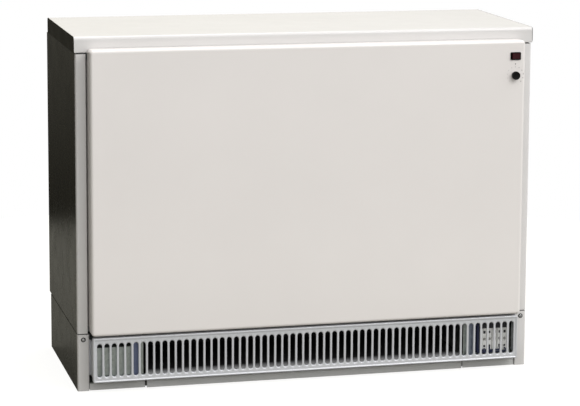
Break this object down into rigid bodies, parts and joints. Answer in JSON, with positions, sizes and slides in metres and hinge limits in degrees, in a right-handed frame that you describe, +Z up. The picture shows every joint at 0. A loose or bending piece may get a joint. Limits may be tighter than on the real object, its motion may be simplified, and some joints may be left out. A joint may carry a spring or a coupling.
{
  "type": "storage heater",
  "caption": "Floor-standing night storage heater: dark side panels, pale front panel and cover, slotted fan outlet grille, rocker switch and room thermostat knob, brick core inside.",
  "frame": {"origin": "middle of the overall box, on the floor", "axes": "+Z up, +X to the right seen from the front, front looks towards -Y"},
  "size_m": [0.895, 0.414, 0.672],
  "materials": {
    "cover_enamel": "warm white gloss enamel on sheet steel",
    "panel_enamel": "warm grey-white satin enamel on sheet steel",
    "dark_enamel": "dark umber gloss enamel on sheet steel",
    "grille_enamel": "silver-grey enamel on punched sheet steel",
    "plinth_enamel": "mid grey satin enamel",
    "galvanised": "hot-dip galvanised sheet steel",
    "deck_steel": "black stove paint on thick steel plate",
    "duct_black": "matt black heat-proof paint on sheet steel",
    "bright_steel": "bright drawn steel",
    "element_sheath": "heat-tinted alloy sheath",
    "bronze": "sintered bronze",
    "fan_aluminium": "plain aluminium sheet",
    "storage_brick": "pressed magnesite, dark red-brown, dusty",
    "insulation_board": "mineral insulation board",
    "felt": "black felt",
    "black_plastic": "black moulded phenolic, slight gloss",
    "red_rocker": "dark red translucent plastic",
    "white_terminal": "white moulded terminal plastic",
    "wire_sleeve": "dark blue heat-proof wire sleeve"
  },
  "bodies": {
    "casing": {"top_cover": "cover_enamel", "left_front_column": "cover_enamel", "right_front_column": "cover_enamel", "left_base_column": "cover_enamel", "right_base_column": "cover_enamel", "front_panel": "panel_enamel", "left_side_panel": "dark_enamel", "right_side_panel": "dark_enamel", "left_base_cheek": "dark_enamel", "right_base_cheek": "dark_enamel", "cover_end_left": "dark_enamel", "cover_end_right": "dark_enamel", "grille": "grille_enamel", "plinth_left": "plinth_enamel", "plinth_centre": "plinth_enamel", "plinth_right": "plinth_enamel", "inner_front_plate": "galvanised", "inner_left_wall": "galvanised", "inner_right_wall": "galvanised", "inner_top_plate": "galvanised", "rear_panel": "galvanised", "base_pan": "galvanised", "left_end_box": "galvanised", "terminal_tray": "galvanised", "duct_floor": "duct_black", "fan_housing": "duct_black", "fan_end_plates": "duct_black", "core_deck": "deck_steel", "column_screws": "bright_steel", "motor_stator": "bright_steel", "flap_bimetal": "bright_steel", "overheat_limiter": "bright_steel", "heating_element_1": "element_sheath", "heating_element_2": "element_sheath", "fan_bearings": "bronze", "brick_row_1": "storage_brick", "brick_row_2": "storage_brick", "brick_row_3": "storage_brick", "brick_row_4": "storage_brick", "brick_row_5": "storage_brick", "front_insulation": "insulation_board", "rear_insulation": "insulation_board", "end_insulation": "insulation_board", "floor_insulation": "insulation_board", "roof_insulation": "insulation_board", "cover_pads": "felt", "switch_housing": "black_plastic", "thermostat_body": "black_plastic", "cable_gland": "black_plastic", "terminal_block": "white_terminal", "connection_wiring": "wire_sleeve"},
    "fan_rotor": {"fan_shaft": "bright_steel", "motor_rotor": "bright_steel", "left_impeller": "fan_aluminium", "right_impeller": "fan_aluminium"},
    "flap": {"mix_air_flap": "duct_black"},
    "knob": {"thermostat_knob": "black_plastic", "thermostat_spindle": "bright_steel"},
    "rocker": {"switch_rocker": "red_rocker"},
    "reset_button": {"limiter_reset_button": "red_rocker"}
  },
  "joints": [
    {"name": "fan_spin", "type": "hinge", "parent": "casing", "child": "fan_rotor", "pos_m": [0, 0.123, 0.0695], "axis": [1, 0, 0], "continuous": true},
    {"name": "flap_swing", "type": "hinge", "parent": "casing", "child": "flap", "pos_m": [0, 0.029, 0.101], "axis": [1, 0, 0], "range_deg": [-45, 0]},
    {"name": "knob_turn", "type": "hinge", "parent": "casing", "child": "knob", "pos_m": [0.402, -0.199, 0.583], "axis": [0, 1, 0], "range_deg": [-135, 135]},
    {"name": "rocker_tilt", "type": "hinge", "parent": "casing", "child": "rocker", "pos_m": [0.402, -0.197, 0.6205], "axis": [0, 0, 1], "range_deg": [-16, 0]},
    {"name": "button_press", "type": "slide", "parent": "casing", "child": "reset_button", "axis": [-1, 0, 0], "range_m": [0, 0.0015], "stiffness_N_per_m": 300}
  ]
}
